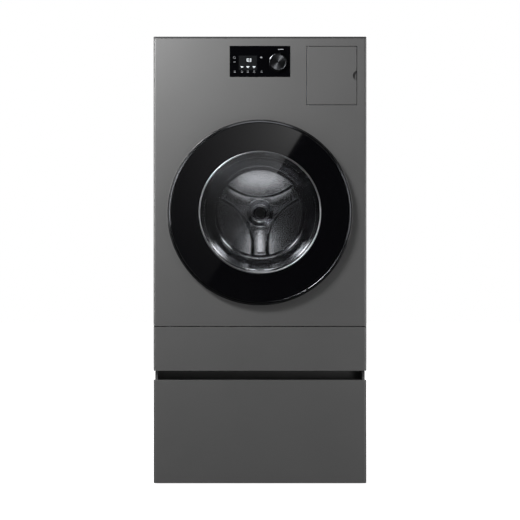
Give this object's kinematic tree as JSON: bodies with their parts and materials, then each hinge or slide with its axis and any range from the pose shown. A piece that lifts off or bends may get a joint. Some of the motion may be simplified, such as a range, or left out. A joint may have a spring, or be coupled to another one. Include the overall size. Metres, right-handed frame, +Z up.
{
  "type": "washer dryer stack",
  "caption": "Front-loading heat-pump washer dryer with a round glass door, control window and lint filter flap, standing on a storage-drawer pedestal.",
  "frame": {"origin": "on the floor under the middle of the whole object, its connectors included", "axes": "+Z up, -Y towards the front with the door, +X to the right of someone facing the front"},
  "size_m": [0.686, 0.875, 1.442],
  "materials": {
    "graphite_steel": "satin graphite-grey coated sheet steel",
    "black_cover": "matt black coated top",
    "black_glass": "black tempered glass, polished",
    "clear_glass": "clear pressed glass",
    "black_plastic": "fine-grained black moulding",
    "grey_rubber": "dark grey moulded rubber",
    "stainless_steel": "bright stainless steel",
    "galvanised_steel": "zinc-coated sheet",
    "white_plastic": "natural white moulding",
    "grey_plastic": "grey moulding",
    "blue_plastic": "blue touch-point moulding",
    "cast_iron": "raw cast iron",
    "aluminium_fins": "stacked thin fins",
    "copper_winding": "enamelled copper wire",
    "circuit_board": "green solder mask",
    "black_enamel": "black enamelled steel shell"
  },
  "bodies": {
    "cabinet": {"air_duct": "grey_plastic", "back_panel": "galvanised_steel", "base_frame": "galvanised_steel", "compressor": "black_enamel", "condenser": "aluminium_fins", "control_board": "circuit_board", "control_glass": "black_glass", "cord_gland": "black_plastic", "counterweight": "cast_iron", "damper_left": "galvanised_steel", "damper_right": "galvanised_steel", "detergent_box": "white_plastic", "door_gasket": "grey_rubber", "door_hinge": "galvanised_steel", "door_lock": "black_plastic", "door_seat_ring": "black_plastic", "drain_outlet": "grey_plastic", "drain_pump": "grey_plastic", "drawer_rail_left": "galvanised_steel", "drawer_rail_right": "galvanised_steel", "evaporator": "aluminium_fins", "filter_housing": "black_plastic", "front_panel": "graphite_steel", "lint_filter": "blue_plastic", "machine_foot_front_left": "black_plastic", "machine_foot_front_right": "black_plastic", "machine_foot_rear_left": "black_plastic", "machine_foot_rear_right": "black_plastic", "motor_stator": "copper_winding", "pedestal_foot_front_left": "black_plastic", "pedestal_foot_front_right": "black_plastic", "pedestal_foot_rear_left": "black_plastic", "pedestal_foot_rear_right": "black_plastic", "pedestal_frame": "graphite_steel", "side_panel_left": "graphite_steel", "side_panel_right": "graphite_steel", "top_cover": "black_cover", "tub_front": "white_plastic", "tub_rear": "white_plastic", "tub_spring_left": "galvanised_steel", "tub_spring_right": "galvanised_steel", "water_inlet_valve": "white_plastic"},
    "door": {"door_frame": "black_plastic", "door_glass": "black_glass", "door_bowl": "clear_glass", "door_hook": "galvanised_steel"},
    "drum": {"drum": "stainless_steel", "drum_lifter_1": "stainless_steel", "drum_lifter_2": "stainless_steel", "drum_lifter_3": "stainless_steel", "motor_rotor": "galvanised_steel"},
    "blower": {"blower_wheel": "black_plastic"},
    "dial": {"dial_knob": "black_plastic"},
    "filter_flap": {"filter_door": "graphite_steel"},
    "service_flap": {"lower_flap": "graphite_steel"},
    "drain_cap": {"drain_filter_cap": "blue_plastic"},
    "drawer": {"drawer_front": "graphite_steel", "drawer_box": "galvanised_steel", "drawer_slide_left": "stainless_steel", "drawer_slide_right": "stainless_steel"}
  },
  "joints": [
    {"name": "door_hinge", "type": "hinge", "parent": "cabinet", "child": "door", "pos_m": [-0.2845, -0.42125, 0.876], "axis": [0, 0, -1], "range_deg": [0, 110]},
    {"name": "drum_spin", "type": "hinge", "parent": "cabinet", "child": "drum", "pos_m": [0, -0.3995, 0.876], "axis": [0, -1, 0], "continuous": true},
    {"name": "blower_spin", "type": "hinge", "parent": "cabinet", "child": "blower", "pos_m": [0.265, 0.2527, 0.4574], "axis": [1, 0, 0], "continuous": true},
    {"name": "dial_turn", "type": "hinge", "parent": "cabinet", "child": "dial", "pos_m": [0.0577, -0.3995, 1.359], "axis": [0, -1, 0], "continuous": true},
    {"name": "filter_door_hinge", "type": "hinge", "parent": "cabinet", "child": "filter_flap", "pos_m": [0.155, -0.3955, 1.3165], "axis": [0, 0, -1], "range_deg": [0, 95]},
    {"name": "service_flap_hinge", "type": "hinge", "parent": "cabinet", "child": "service_flap", "pos_m": [0, -0.3915, 0.374], "axis": [1, 0, 0], "range_deg": [0, 90]},
    {"name": "drain_cap_turn", "type": "hinge", "parent": "cabinet", "child": "drain_cap", "pos_m": [0.193, -0.3495, 0.4279], "axis": [0, -1, 0], "range_deg": [0, 90]},
    {"name": "drawer_slide", "type": "slide", "parent": "cabinet", "child": "drawer", "axis": [0, -1, 0], "range_m": [0, 0.45]}
  ]
}
